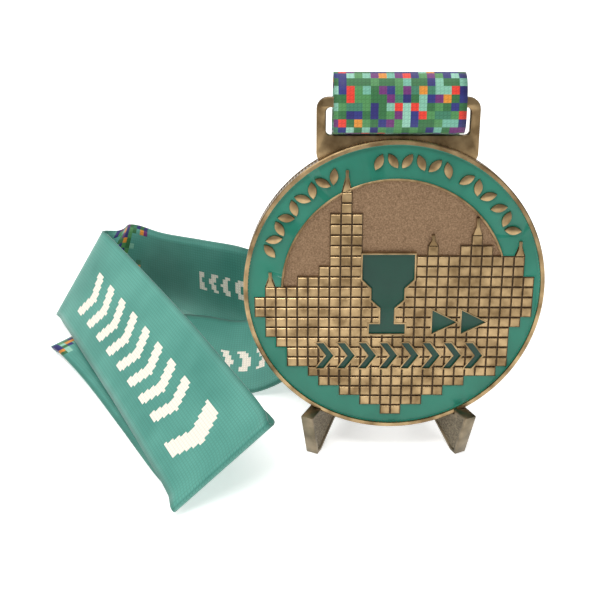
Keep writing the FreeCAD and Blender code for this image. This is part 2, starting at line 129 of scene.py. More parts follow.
# Matt white laminate: even and pale, with a faint broad mottle.
laminate, tree, shader = new_material("matt_white_laminate")
place = add_node(tree, "ShaderNodeTexCoord")
mottle = add_node(tree, "ShaderNodeTexNoise", {"Vector": place.outputs["Object"], "Scale": 6.0, "Detail": 2.0})
tint = add_node(tree, "ShaderNodeValToRGB", {"Fac": mottle.outputs["Fac"]})
tint.color_ramp.elements[0].color = colour("F1F1EF")
tint.color_ramp.elements[1].color = colour("F8F8F7")
tree.links.new(tint.outputs["Color"], shader.inputs["Base Color"])
shader.inputs["Roughness"].default_value = 0.7
shader.inputs["Emission Color"].default_value = colour("FFFFFF")
shader.inputs["Emission Strength"].default_value = 0.55
floor.data.materials.append(laminate)

# ------------------------------------------------------------------ neck ribbon
# One length of satin polyester webbing, dye-printed on both faces, with a woven selvedge along each
# side. It passes through the hanger's slot and over its bar; the two ends are lapped and sewn behind.
mounts = {mount["name"]: mount for mount in frame["record"]["mounts"]}
joints = {joint["name"]: joint for joint in frame["joints"]}
MEDAL_BACK = Vector(mounts["medal_back"]["pos_m"])
MEDAL_FRONT_WAY = -Vector(mounts["medal_back"]["axis"])
MEDAL_UP_WAY = MEDAL_FRONT_WAY.cross(Vector((1, 0, 0)))
BAR_CENTRE = Vector(joints["ribbon_swing"]["pos_m"])

RIBBON_WIDTH = 29.0 * MM
RIBBON_THICK = 0.8 * MM
LAP_GAP = 0.2
LAP_STEP = RIBBON_THICK / MM + LAP_GAP
# Each station: the lower or nearer selvedge, and the way across the band to the other selvedge.
ROUTE = [
    ((14.5, 19.6, 55), (-0.98, 0.2, 0)), ((13.5, 22, 44), (-0.8, 0.6, 0)), ((11.5, 24.5, 32), (-0.42, 0.91, 0)),
    ((9.5, 26.5, 20), (-0.1, 0.99, 0)), ((7.5, 28, 10), (0, 1, 0)), ((3, 29.5, 3.6), (0, 1, 0.02)),
    ((-6, 31.5, 1.2), (0, 1, 0.08)), ((-18, 38, 1.0), (0, 24, 16.2)),
    ((-37.3, 51.5, 0.9), (0, -0.5, 29)), ((-50, 60, 0.9), (0.5, -3, 29)), ((-64, 69.5, 0.9), (1.5, -6, 28.4)),
    ((-82, 71.5, 0.9), (9, 1, 27.2)), ((-91.5, 68.0, 1.0), (14.5, 10, 23.7)),
    ((-96, 62.5, 3.0), (14.5, 13, 22.8)), ((-93.5, 56.5, 4.2), (14, 12.5, 22.9)),
    ((-84, 38, 4.4), (15.6, 12, 21.9)), ((-70, 11, 4.1), (18, 11, 20.2)),
    ((-57, -15, 3.6), (20.4, 10, 18.2)), ((-51.5, -26.5, 3.3), (21.6, 9.6, 17.1)),
    ((-50.3, -30.3, 2.1), (21.7, 10, 16.6)), ((-50.0, -25.8, 1.0), (21.8, 9.6, 16.0)),
    ((-57.5, -13.4, 0.9), (23, 11.5, 12.6)), ((-68, 4.6, 1.2), (24.6, 14, 7.2)),
    ((-80, 24, 2.2), (25, 15, 3.6)), ((-90.3, 38.6, 3.0), (22, 21.5, 1.8)),
    ((-93.9, 43.5, 2.0), (20.6, 24.1, 0.5)), ((-92.0, 43.0, 0.8), (20.5, 24.2, 0)),
    ((-84, 39.5, 0.8), (15, 26, 0.6)), ((-72, 34.5, 0.8), (10, 27.5, 2.5)),
    ((-56, 27.5, 0.8), (5.5, 28, 4.9)), ((-37.5, 20.5, 0.9), (0.2, 28, 7)), ((-26.5, 20.2, 5.0), (0.5, 27, 10)),
    ((-16, 18.9, 16), (-1, 29, 3)), ((-8, 16.5, 28), (-0.42, 0.9, 0)), ((1, 14.9, 40), (-0.76, 0.65, 0)),
    ((9, 14.3, 52), (-0.95, 0.31, 0)), ((14, 14.3, 63), (-1, 0.03, 0)),
]
# Round the bar from behind: forward of the bar's middle and above the slot's lower edge while the
# band lies in the slot and at its lap, then above the bar's middle while it goes over the bar.
THROUGH_SLOT = [(-7.4, -2.7), (-4.8, -0.5), (-1.6, 0.7), (1.4, 0.85), (3.1, 1.5)]
OVER_BAR = [
    (4.2, -4.0), (4.3, -1.0), (4.1, 2.2), (3.0, 4.8), (0.6, 6.1), (-1.9, 5.7), (-3.9, 3.4), (-5.1, 0.2)]
LAP = [(-9.6, -4.7), (-11.2, -9.2)]
BELOW_LAP = (-12.0, -14.7)
SLOT_HEIGHT = 6.2
BAR_HEIGHT = 2.2
SLOT_EDGE = BAR_HEIGHT / 2 + SLOT_HEIGHT
STEPS = 8
CURVE_SHARE = 0.5
ACROSS = 12
# Stations of the route at which the band turns round a fold.
BACK_FOLD, NECK_FOLD, END_FOLD = 13, 19, 25


def across(forward, above, level, outward=0.0):
    """A station across the hanger, above a level that is measured down from the bar's middle."""
    middle = BAR_CENTRE + (MEDAL_FRONT_WAY * (forward - outward) + MEDAL_UP_WAY * (above - level)) * MM
    return middle + Vector((RIBBON_WIDTH / 2, 0, 0)), Vector((-1, 0, 0))


def smooth(points, steps):
    """Points along a curve through every given point, evenly stepped between each two."""
    line = []
    last = len(points) - 1
    for index in range(last):
        before, first, second = points[max(index - 1, 0)], points[index], points[index + 1]
        after = points[min(index + 2, last)]
        span = (second - first).length
        out = (second - before) * (CURVE_SHARE * span / max((second - before).length, span) * 2)
        into = (after - first) * (CURVE_SHARE * span / max((after - first).length, span) * 2)
        for step in range(steps):
            t = step / steps
            line.append(first * (2 * t ** 3 - 3 * t ** 2 + 1) + out * (t ** 3 - 2 * t ** 2 + t)
                        + second * (3 * t ** 2 - 2 * t ** 3) + into * (t ** 3 - t ** 2))
    line.append(points[last])
    return line


stations = [across(*spot, SLOT_EDGE) for spot in LAP + [BELOW_LAP]]
first_route_station = len(stations)
stations += [(Vector(near) * MM, Vector(way)) for near, way in ROUTE]
stations += [across(*spot, SLOT_EDGE) for spot in THROUGH_SLOT]
stations += [across(*spot, 0) for spot in OVER_BAR]
stations += [across(*spot, SLOT_EDGE, LAP_STEP) for spot in LAP]
near_edge = smooth([near for near, way in stations], STEPS)
far_edge = smooth([near + way.normalized() * RIBBON_WIDTH for near, way in stations], STEPS)
middle_line = [(near + far) / 2 for near, far in zip(near_edge, far_edge)]
run_length = [0.0]
for here, there in zip(middle_line, middle_line[1:]):
    run_length.append(run_length[-1] + (there - here).length)


def run_at(route_station):
    """How far along the band a station of the route lies, in millimetres."""
    spot = (first_route_station + route_station) * STEPS
    return run_length[round(spot)] / MM


vertices = []
for near, far in zip(near_edge, far_edge):
    vertices += [near.lerp(far, step / ACROSS) for step in range(ACROSS + 1)]
row = ACROSS + 1
faces = [(row * i + j, row * i + j + 1, row * (i + 1) + j + 1, row * (i + 1) + j)
         for i in range(len(near_edge) - 1) for j in range(ACROSS)]
clear_selection()
ribbon_mesh = bpy.data.meshes.new("neck_ribbon")
ribbon_mesh.from_pydata(vertices, [], faces)
# The print follows the cloth: its map is millimetres along the band and across it.
print_map = ribbon_mesh.uv_layers.new(name="print_map")
for loop in ribbon_mesh.loops:
    step_along, step_across = divmod(loop.vertex_index, row)
    print_map.data[loop.index].uv = (run_length[step_along] / MM, step_across / ACROSS * RIBBON_WIDTH / MM)
ribbon_mesh.shade_smooth()
ribbon = bpy.data.objects.new("neck_ribbon", ribbon_mesh)
bpy.context.scene.collection.objects.link(ribbon)
bpy.context.view_layer.objects.active = ribbon
ribbon.select_set(True)
solidify = ribbon.modifiers.new("webbing_thickness", "SOLIDIFY")
solidify.thickness = RIBBON_THICK * 0.9
solidify.offset = 0.0
bpy.ops.object.modifier_apply(modifier="webbing_thickness")

# Dye-printed satin polyester: a soft sheen along the threads, and a fine diagonal rib to the touch.
satin, tree, shader = new_material("dye_printed_satin_webbing")
cloth_place = add_node(tree, "ShaderNodeUVMap", uv_map="print_map")
split = add_node(tree, "ShaderNodeSeparateXYZ", {"Vector": cloth_place.outputs["UV"]})
ALONG, ACROSS_CLOTH = split.outputs["X"], split.outputs["Y"]
BLOCK = 1.75


def maths(operation, first, second=0.0, third=0.0):
    """The result of one sum on numbers or sockets."""
    return add_node(tree, "ShaderNodeMath", {0: first, 1: second, 2: third}, operation=operation).outputs[0]


def within(value, low, high):
    """One where a value lies between two limits, and nought elsewhere."""
    return maths("MULTIPLY", maths("GREATER_THAN", value, low), maths("LESS_THAN", value, high))


def either(first, second):
    return maths("MAXIMUM", first, second)


along_block = maths("MULTIPLY", maths("FLOOR", maths("DIVIDE", ALONG, BLOCK)), BLOCK)
across_block = maths("MULTIPLY", maths("FLOOR", maths("DIVIDE", ACROSS_CLOTH, BLOCK)), BLOCK)
block_spot = add_node(tree, "ShaderNodeCombineXYZ", {"X": along_block, "Y": across_block})
block_chance = add_node(tree, "ShaderNodeTexWhiteNoise", {"Vector": block_spot.outputs[0]}, noise_dimensions="2D")
pair_spot = add_node(tree, "ShaderNodeCombineXYZ", {
    "X": maths("FLOOR", maths("DIVIDE", along_block, BLOCK * 2.3)),
    "Y": maths("FLOOR", maths("DIVIDE", across_block, BLOCK * 1.6))})
pair_chance = add_node(tree, "ShaderNodeTexWhiteNoise", {"Vector": pair_spot.outputs[0]}, noise_dimensions="2D")
patch_value = maths("FRACT", maths("ADD", maths("MULTIPLY", block_chance.outputs["Value"], 0.45),
                                   pair_chance.outputs["Value"]))
MOSAIC = ("2F6B3C", "4C8A50", "26246B", "8FC4AE", "2F6B3C", "6B2A6E", "D98A2E", "26246B", "3B7A5E", "6FAE98",
          "6B2A6E", "4C8A50", "E03A2A", "2A2F78", "2F6B3C", "7FB8A0")
mosaic = add_node(tree, "ShaderNodeValToRGB", {"Fac": patch_value})
mosaic.color_ramp.interpolation = "CONSTANT"
while len(mosaic.color_ramp.elements) < len(MOSAIC):
    mosaic.color_ramp.elements.new(1.0)
for index, (stop, dye) in enumerate(zip(mosaic.color_ramp.elements, MOSAIC)):
    stop.position = index / len(MOSAIC)
    stop.color = colour(dye)

# Where the mosaic is printed: (start, end) along the band, with ends broken up block by block.
MOSAIC_RUNS = [(run_at(BACK_FOLD - 2.6), run_at(BACK_FOLD - 0.6)), (run_at(END_FOLD - 1.2), run_at(END_FOLD + 0.9)),
               (run_at(len(ROUTE) - 2.0), run_length[-1] / MM + 40), (-40, run_at(0.3))]
ragged = maths("MULTIPLY", pair_chance.outputs["Value"], 7.0)
mosaic_mask = None
for start, end in MOSAIC_RUNS:
    span = within(along_block, maths("ADD", ragged, start), maths("SUBTRACT", end, ragged))
    mosaic_mask = span if mosaic_mask is None else either(mosaic_mask, span)

# Cream chevrons built of the same blocks: (start, end, low, high across the band, pitch, limb).
PANEL_START = run_at(BACK_FOLD + 1)
CHEVRONS = [(PANEL_START + 7, PANEL_START + 77, 6.0, 18.5, 8.8, 4.0),
            (PANEL_START + 81, PANEL_START + 94, 5.0, 20.0, 30.0, 5.8),
            (run_at(BACK_FOLD - 5), run_at(BACK_FOLD - 3.9), 12.0, 18.0, 4.6, 1.9),
            (run_at(END_FOLD + 4.2), run_at(END_FOLD + 6.2), 7.0, 15.0, 5.4, 2.3),
            (run_at(NECK_FOLD + 2.6), run_at(NECK_FOLD + 4.2), 10.0, 20.0, 6.4, 2.7)]
FINE_BLOCK = 0.875
SLANT = 0.5
fine_along = maths("MULTIPLY", maths("FLOOR", maths("DIVIDE", ALONG, FINE_BLOCK)), FINE_BLOCK)
fine_across = maths("MULTIPLY", maths("FLOOR", maths("DIVIDE", ACROSS_CLOTH, FINE_BLOCK)), FINE_BLOCK)
chevron_mask = None
for start, end, low, high, pitch, limb in CHEVRONS:
    from_middle = maths("ABSOLUTE", maths("SUBTRACT", fine_across, (low + high) / 2))
    arm_reach = (high - low) / 2 * SLANT
    slanted = maths("ADD", maths("SUBTRACT", fine_along, start + arm_reach), maths("MULTIPLY", from_middle, SLANT))
    stripe = maths("LESS_THAN", maths("FLOORED_MODULO", slanted, pitch), limb)
    field = maths("MULTIPLY", within(fine_across, low, high), within(fine_along, start, end))
    mark = maths("MULTIPLY", stripe, field)
    chevron_mask = mark if chevron_mask is None else either(chevron_mask, mark)

dye_drift = add_node(tree, "ShaderNodeTexNoise", {"Vector": cloth_place.outputs["UV"], "Scale": 0.06, "Detail": 2.0})
teal = add_node(tree, "ShaderNodeValToRGB", {"Fac": dye_drift.outputs["Fac"]})
teal.color_ramp.elements[0].position = 0.3
teal.color_ramp.elements[0].color = colour("408779")
teal.color_ramp.elements[1].position = 0.7
teal.color_ramp.elements[1].color = colour("589E8F")


def blend(share, first, second, kind="MIX"):
    """One colour over another by a share."""
    mixer = add_node(tree, "ShaderNodeMix", {"Factor": share}, data_type="RGBA", blend_type=kind)
    for socket, value in ((6, first), (7, second)):
        if isinstance(value, bpy.types.NodeSocket):
            tree.links.new(value, mixer.inputs[socket])
        else:
            mixer.inputs[socket].default_value = value
    return mixer.outputs[2]


printed = blend(mosaic_mask, teal.outputs["Color"], mosaic.outputs["Color"])
printed = blend(chevron_mask, printed, colour("F4E9DA"))
# Satin on a ribbed ground: fine diagonal ribs, with a cord line every 0.85 mm each way.
RIB = 0.55
CORD_LINE = 0.85
rib_phase = maths("MULTIPLY", maths("ADD", ALONG, maths("MULTIPLY", ACROSS_CLOTH, 0.6)), 2 * math.pi / RIB)
rib = maths("MULTIPLY_ADD", maths("SINE", rib_phase), 0.5, 0.5)
lines = [maths("POWER", maths("ABSOLUTE", maths("COSINE", maths("MULTIPLY", way, math.pi / CORD_LINE))), 12.0)
         for way in (ALONG, ACROSS_CLOTH)]
cord_lines = either(lines[0], lines[1])
weave = maths("MULTIPLY_ADD", rib, 0.4, maths("MULTIPLY", cord_lines, -0.6))
ground = blend(maths("MULTIPLY", rib, 0.14), printed, colour("1E4A40"), "MULTIPLY")
# The cord lines, which the weave's bump sinks, are also darkened in colour: painted shade in the grooves.
shade = blend(maths("MULTIPLY", cord_lines, 0.22), ground, colour("28473F"), "MULTIPLY")
selvedge = either(maths("LESS_THAN", ACROSS_CLOTH, 0.7), maths("GREATER_THAN", ACROSS_CLOTH, RIBBON_WIDTH / MM - 0.7))
shade = blend(maths("MULTIPLY", selvedge, 0.25), shade, colour("3C7F6E"), "MULTIPLY")
tree.links.new(shade, shader.inputs["Base Color"])
weave_bump = add_node(tree, "ShaderNodeBump", {"Height": weave, "Strength": 0.35, "Distance": 0.05 * MM})
tree.links.new(weave_bump.outputs[0], shader.inputs["Normal"])
shader.inputs["Roughness"].default_value = 0.52
shader.inputs["Specular IOR Level"].default_value = 0.4
shader.inputs["Sheen Weight"].default_value = 0.35
shader.inputs["Sheen Roughness"].default_value = 0.35
ribbon.data.materials.append(satin)
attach(ribbon, "ribbon")
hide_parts("ribbon_band")

# ------------------------------------------------------------------ lap seam
# Two rows of polyester thread hold the two plies of the ribbon where its ends lap behind the hanger.
# A lockstitch machine pulls each stitch down at both ends, so it stands up a little between them.
STITCH_ROWS = (3, 8)
STITCH_COUNT = 9
STITCH_SHARE = 0.62
STITCH_POINTS = 7
STITCH_CROWN = 0.12 * MM
THREAD_RADIUS = 0.15 * MM


def seam_row(steps_from_end):
    """Where a row of stitches starts on the lap's outer face, the way along it and the way out of it."""
    index = len(near_edge) - 1 - steps_from_end
    along_row = (far_edge[index] - near_edge[index]).normalized()
    out = (near_edge[index + 1] - near_edge[index]).cross(along_row).normalized()
    if out.dot(MEDAL_FRONT_WAY) > 0:
        out = -out
    return near_edge[index] + out * (RIBBON_THICK / 2 + THREAD_RADIUS * 0.6), along_row, out


def bevelled_curve(name, radius):
    """An empty round-bevelled curve for thread."""
    curve = bpy.data.curves.new(name, "CURVE")
    curve.dimensions = "3D"
    curve.bevel_depth = radius
    curve.bevel_resolution = 3
    curve.use_fill_caps = True
    return curve


def curve_to_mesh(name, curve):
    """The curve as a mesh object, made the active one."""
    clear_selection()
    item = bpy.data.objects.new(name, curve)
    bpy.context.scene.collection.objects.link(item)
    bpy.context.view_layer.objects.active = item
    item.select_set(True)
    bpy.ops.object.convert(target="MESH")
    return bpy.context.object


seam = bevelled_curve("lap_seam", THREAD_RADIUS)
for steps_from_end in STITCH_ROWS:
    row_start, along_row, out = seam_row(steps_from_end)
    pitch = RIBBON_WIDTH / STITCH_COUNT
    for index in range(STITCH_COUNT):
        begin = row_start + along_row * pitch * (index + (1 - STITCH_SHARE) / 2)
        stitch = seam.splines.new("POLY")
        stitch.points.add(STITCH_POINTS - 1)
        for count, point in enumerate(stitch.points):
            share = count / (STITCH_POINTS - 1)
            sunk = out * (STITCH_CROWN * (1 - math.sin(math.pi * share)))
            point.co = (*(begin + along_row * (pitch * STITCH_SHARE * share) - sunk), 1)
lap_seam = curve_to_mesh("lap_seam", seam)
# Twisted polyester thread: teal, with a slight gloss and its plies wound round it, drawn as light and dark bands:
# painted highlight on the plies and painted shade between them.
thread, tree, shader = new_material("twisted_polyester_thread")
spot = add_node(tree, "ShaderNodeTexCoord")
plies = add_node(tree, "ShaderNodeTexWave", {"Vector": spot.outputs["Object"], "Scale": 900.0, "Distortion": 0.4})
ply_shade = add_node(tree, "ShaderNodeValToRGB", {"Fac": plies.outputs["Fac"]})
ply_shade.color_ramp.elements[0].color = colour("2E7562")
ply_shade.color_ramp.elements[1].color = colour("6DB8A0")
tree.links.new(ply_shade.outputs["Color"], shader.inputs["Base Color"])
shader.inputs["Roughness"].default_value = 0.45
lap_seam.data.materials.append(thread)
lap_seam.data.shade_smooth()
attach(lap_seam, "ribbon")
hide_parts("ribbon_stitching")

# ------------------------------------------------------------------ medal: disc and reeded edge
# A zinc die casting, bronze plated and then rubbed back. The disc has a plain rim, a sunk floor for the
# enamel, and an edge that is reeded like a coin's.
DISC_RADIUS = 35.0
DISC_THICK = 4.5
RIM_WIDTH = 1.0
EDGE_CHAMFER = 0.25
FLOOR_LEVEL = 3.3
REEDS = 240
REED_DEPTH = 0.22
REED_BAND = (0.7, 3.8)
REED_RUNOUT = 0.25
BACK_BORDER = 1.2
MEDAL_PLACE = Matrix((Vector((1, 0, 0)), MEDAL_UP_WAY, MEDAL_FRONT_WAY)).transposed().to_4x4()
MEDAL_PLACE.translation = MEDAL_BACK


def edit(item):
    """Edit mode on one object with everything selected."""
    clear_selection()
    bpy.context.view_layer.objects.active = item
    item.select_set(True)
    bpy.ops.object.mode_set(mode="EDIT")
    bpy.ops.mesh.select_all(action="SELECT")


def leave_edit():
    bpy.ops.object.mode_set(mode="OBJECT")


def select_faces(item, wanted):
    """In edit mode: only the faces whose centre and normal pass a test are selected."""
    bpy.ops.mesh.select_mode(type="FACE")
    bpy.ops.mesh.select_all(action="DESELECT")
    leave_edit()
    for face in item.data.polygons:
        face.select = wanted(face.center, face.normal)
    bpy.ops.object.mode_set(mode="EDIT")


def paint_faces(item, index, wanted):
    """Faces whose centre and normal pass a test take another of the piece's materials."""
    for face in item.data.polygons:
        if wanted(face.center, face.normal):
            face.material_index = index


def raise_face(step, factor=1.0):
    """In edit mode: the selected faces are extruded along the depth and scaled about the middle."""
    bpy.ops.mesh.extrude_region_move(TRANSFORM_OT_translate={"value": (0, 0, step * MM)})
    if factor != 1.0:
        bpy.ops.transform.resize(value=(factor, factor, 1), center_override=(0, 0, 0))


def stand_up(item, smooth_angle=30.0):
    """Turns a piece from the drawing plane to its place on the leaning medal."""
    item.data.transform(MEDAL_PLACE)
    item.data.update()
    clear_selection()
    item.select_set(True)
    bpy.context.view_layer.objects.active = item
    bpy.ops.object.shade_smooth_by_angle(angle=math.radians(smooth_angle))


# Bronze plate, rubbed bright on its edges: warm, half glossy, with brown patina left in patches.
bronze, tree, shader = new_material("rubbed_bronze_plate")
spot = add_node(tree, "ShaderNodeTexCoord")
patches = add_node(tree, "ShaderNodeTexNoise", {"Vector": spot.outputs["Object"], "Scale": 260.0, "Detail": 4.0})
tone = add_node(tree, "ShaderNodeValToRGB", {"Fac": patches.outputs["Fac"]})
tone.color_ramp.elements[0].position = 0.35
tone.color_ramp.elements[0].color = colour("7A6446")
tone.color_ramp.elements[1].position = 0.65
tone.color_ramp.elements[1].color = colour("B0966F")
tree.links.new(tone.outputs["Color"], shader.inputs["Base Color"])
dull = add_node(tree, "ShaderNodeMapRange", {"Value": patches.outputs["Fac"], "To Min": 0.42, "To Max": 0.26})
tree.links.new(dull.outputs[0], shader.inputs["Roughness"])
fine = add_node(tree, "ShaderNodeTexNoise", {"Vector": spot.outputs["Object"], "Scale": 2600.0, "Detail": 2.0})
grain = add_node(tree, "ShaderNodeBump", {"Height": fine.outputs["Fac"], "Strength": 0.12, "Distance": 0.03 * MM})
tree.links.new(grain.outputs[0], shader.inputs["Normal"])
shader.inputs["Metallic"].default_value = 1.0

# Sand-blasted bronze: even and matt. The grit's pits are about 0.2 mm, drawn at 0.35 mm to show.
blasted, tree, shader = new_material("sand_blasted_bronze")
spot = add_node(tree, "ShaderNodeTexCoord")
pits = add_node(tree, "ShaderNodeTexNoise", {"Vector": spot.outputs["Object"], "Scale": 2800.0, "Detail": 3.0,
                                             "Roughness": 0.7})
tone = add_node(tree, "ShaderNodeValToRGB", {"Fac": pits.outputs["Fac"]})
tone.color_ramp.elements[0].position = 0.3
tone.color_ramp.elements[0].color = colour("6E5640")
tone.color_ramp.elements[1].position = 0.72
tone.color_ramp.elements[1].color = colour("A88B6E")
tree.links.new(tone.outputs["Color"], shader.inputs["Base Color"])
pitted = add_node(tree, "ShaderNodeBump", {"Height": pits.outputs["Fac"], "Strength": 0.7, "Distance": 0.12 * MM})
tree.links.new(pitted.outputs[0], shader.inputs["Normal"])
shader.inputs["Metallic"].default_value = 0.9
shader.inputs["Roughness"].default_value = 0.55

# Brown patina that the rubbing does not reach, at the foot of the grooves: dark and dull.
patina, tree, shader = new_material("brown_patina_in_grooves")
spot = add_node(tree, "ShaderNodeTexCoord")
stain = add_node(tree, "ShaderNodeTexNoise", {"Vector": spot.outputs["Object"], "Scale": 700.0, "Detail": 3.0})
tone = add_node(tree, "ShaderNodeValToRGB", {"Fac": stain.outputs["Fac"]})
tone.color_ramp.elements[0].color = colour("33261A")
tone.color_ramp.elements[1].color = colour("5C4731")
tree.links.new(tone.outputs["Color"], shader.inputs["Base Color"])
shader.inputs["Metallic"].default_value = 0.6
shader.inputs["Roughness"].default_value = 0.6

clear_selection()
bpy.ops.mesh.primitive_circle_add(vertices=REEDS * 3, radius=(DISC_RADIUS - EDGE_CHAMFER) * MM, fill_type="NGON")
disc = bpy.context.object
disc.name = "medal_disc"
edit(disc)
narrow = (DISC_RADIUS - EDGE_CHAMFER) / DISC_RADIUS
well = (DISC_RADIUS - RIM_WIDTH) / (DISC_RADIUS - EDGE_CHAMFER)
raise_face(EDGE_CHAMFER, 1 / narrow)
raise_face(REED_BAND[0] - EDGE_CHAMFER)
raise_face(REED_RUNOUT)
raise_face(REED_BAND[1] - REED_BAND[0] - 2 * REED_RUNOUT)
raise_face(REED_RUNOUT)
raise_face(DISC_THICK - EDGE_CHAMFER - REED_BAND[1])
raise_face(EDGE_CHAMFER, narrow)
raise_face(0, well)
raise_face(FLOOR_LEVEL - DISC_THICK)
select_faces(disc, lambda centre, normal: normal.z < -0.9)
bpy.ops.mesh.inset(thickness=BACK_BORDER * MM, depth=0)
# Every third corner in the reeded band is drawn in to make the flutes.
bpy.ops.mesh.select_mode(type="VERT")
bpy.ops.mesh.select_all(action="DESELECT")
leave_edit()
for vertex in disc.data.vertices:
    turn_share = math.atan2(vertex.co.y, vertex.co.x) / (2 * math.pi) * REEDS * 3
    in_band = REED_BAND[0] + 0.1 < vertex.co.z / MM < REED_BAND[1] - 0.1
    vertex.select = in_band and round(turn_share) % 3 == 0
bpy.ops.object.mode_set(mode="EDIT")
drawn_in = 1 - REED_DEPTH / DISC_RADIUS
bpy.ops.transform.resize(value=(drawn_in, drawn_in, 1), center_override=(0, 0, 0))
bpy.ops.mesh.select_mode(type="FACE")
bpy.ops.mesh.select_all(action="SELECT")
bpy.ops.mesh.normals_make_consistent(inside=False)
leave_edit()
for metal in (bronze, blasted):
    disc.data.materials.append(metal)
# The back's one large face has its centre in the middle of the disc; the border's faces do not.
paint_faces(disc, 1, lambda centre, normal: normal.z < -0.9 and centre.to_2d().length < DISC_RADIUS / 2 * MM)
stand_up(disc)
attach(disc, "medal")
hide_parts("medal_casting")

# ------------------------------------------------------------------ medal: hanger
# The hanger is cast with the disc, flush at the back: a thin plate with round corners and a wide slot
# for the ribbon. Its edges are soft from tumbling.
HANGER_WIDTH = 36.4
HANGER_TOP = DISC_RADIUS + 9.0
HANGER_FOOT = 29.0
HANGER_THICK = 2.2
HANGER_CORNER = 2.6
SLOT_WIDTH = 32.1
SLOT_CORNER = 1.0
SLOT_TOP = HANGER_TOP - BAR_HEIGHT


def round_box(left, foot, right, top, radius):
    """Corners of a rectangle with rounded corners, in order."""
    corners = []
    for count, (x, y) in enumerate(((right, top), (left, top), (left, foot), (right, foot))):
        way = math.radians(90 * count)
        middle = (x - radius * math.copysign(1, x - (left + right) / 2),
                  y - radius * math.copysign(1, y - (foot + top) / 2))
        for step in range(7):
            angle = way + math.radians(15 * step)
            corners.append((middle[0] + radius * math.cos(angle), middle[1] + radius * math.sin(angle)))
    return corners


def flat_block(name, outlines, bottom, top, soft_edge):
    """A block with straight sides and softened edges, drawn flat; an outline inside another is a hole."""
    curve = bpy.data.curves.new(name, "CURVE")
    curve.dimensions = "2D"
    curve.fill_mode = "BOTH"
    curve.extrude = ((top - bottom) / 2 - soft_edge) * MM
    curve.bevel_depth = soft_edge * MM
    curve.bevel_resolution = 1
    curve.offset = -soft_edge * MM
    for outline in outlines:
        line = curve.splines.new("POLY")
        line.points.add(len(outline) - 1)
        for point, (x, y) in zip(line.points, outline):
            point.co = (x * MM, y * MM, 0, 1)
        line.use_cyclic_u = True
    block = curve_to_mesh(name, curve)
    block.data.transform(Matrix.Translation((0, 0, (top + bottom) / 2 * MM)))
    edit(block)
    bpy.ops.mesh.remove_doubles(threshold=0.002 * MM)
    bpy.ops.mesh.normals_make_consistent(inside=False)
    leave_edit()
    return block


plate_outline = round_box(-HANGER_WIDTH / 2, HANGER_FOOT, HANGER_WIDTH / 2, HANGER_TOP, HANGER_CORNER)
slot_outline = round_box(-SLOT_WIDTH / 2, SLOT_TOP - SLOT_HEIGHT, SLOT_WIDTH / 2, SLOT_TOP, SLOT_CORNER)
hanger = flat_block("hanger_plate", [plate_outline, slot_outline], 0.02, HANGER_THICK, 0.22)
hanger.data.materials.append(bronze)
stand_up(hanger)
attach(hanger, "medal")

# ------------------------------------------------------------------ medal: tile field
# The city is built of small square tiles, cast in one with the disc, with dark grooves between them.
# Tall columns of tiles carry small pointed roofs.
TILE_TOP = 4.3
ROW_TOP = -1.8
TILE_PITCH = 2.5
GROOVE_LEVEL = 3.9
GROOVE_HALF = 0.17
TILE_COLUMNS = 26
LEFT_STEPS = (0, 0, 1, 1, 2, 3, 3, 5, 6, 8, 10, 12)
RIGHT_STEPS = (0, 0, 1, 2, 2, 2, 2, 3, 6, 8, 10, 12)
# Above the widest row: (tile columns, height in tiles, roof height in tiles or 0).
SKYLINE = (
    (1, 0, 0), (1, 1, 1.4), (2, 1, 0), (2, 2, 0), (1, 3, 0), (1, 8, 0), (1, 10, 2.0), (1, 8, 0),
    (6, 4, 0), (1, 5, 1.0), (2, 4, 0), (1, 5, 0), (1, 6, 1.6), (1, 5, 0), (2, 4, 0), (1, 4, 1.4), (1, 2, 0),
)
column_heights = [height for width, height, roof in SKYLINE for column in range(width)]
TALLEST = max(column_heights)
ROWS = TALLEST + len(LEFT_STEPS)


def has_tile(centre):
    """Whether the field has a tile at a place on the drawing."""
    column = math.floor(centre.x / MM / TILE_PITCH + TILE_COLUMNS / 2)
    row = math.floor((ROW_TOP - centre.y / MM) / TILE_PITCH)
    if row < 0:
        return -row <= column_heights[column]
    return LEFT_STEPS[row] <= column < TILE_COLUMNS - RIGHT_STEPS[row]


clear_selection()
middle = (0, (ROW_TOP + TILE_PITCH * (TALLEST - len(LEFT_STEPS)) / 2) * MM, GROOVE_LEVEL * MM)
bpy.ops.mesh.primitive_grid_add(x_subdivisions=TILE_COLUMNS, y_subdivisions=ROWS, size=TILE_PITCH * MM, location=middle)
field = bpy.context.object
field.name = "tile_field"
field.scale = (TILE_COLUMNS, ROWS, 1)
bpy.ops.object.transform_apply(location=True, scale=True)
edit(field)
select_faces(field, lambda centre, normal: not has_tile(centre))
bpy.ops.mesh.delete(type="FACE")
leave_edit()
base = field.modifiers.new("field_base", "SOLIDIFY")
base.thickness = (GROOVE_LEVEL - FLOOR_LEVEL + 0.1) * MM
base.offset = -1
bpy.ops.object.modifier_apply(modifier="field_base")
edit(field)
select_faces(field, lambda centre, normal: normal.z > 0.9 and centre.z > (GROOVE_LEVEL - 0.1) * MM)
bpy.ops.mesh.inset(thickness=GROOVE_HALF * MM, use_individual=True)
bpy.ops.mesh.inset(thickness=0.03 * MM, depth=0.28 * MM, use_individual=True)
bpy.ops.mesh.inset(thickness=0.16 * MM, depth=0.12 * MM, use_individual=True)
leave_edit()

# ------------------------------------------------------------------ medal: sand-blasted sky and arc line
# Above the tile field the casting's face is sunk and sand-blasted, inside one thin raised line.
ARC_RADIUS = 25.75
ARC_LINE = 0.5
SKY_LEVEL = 3.5

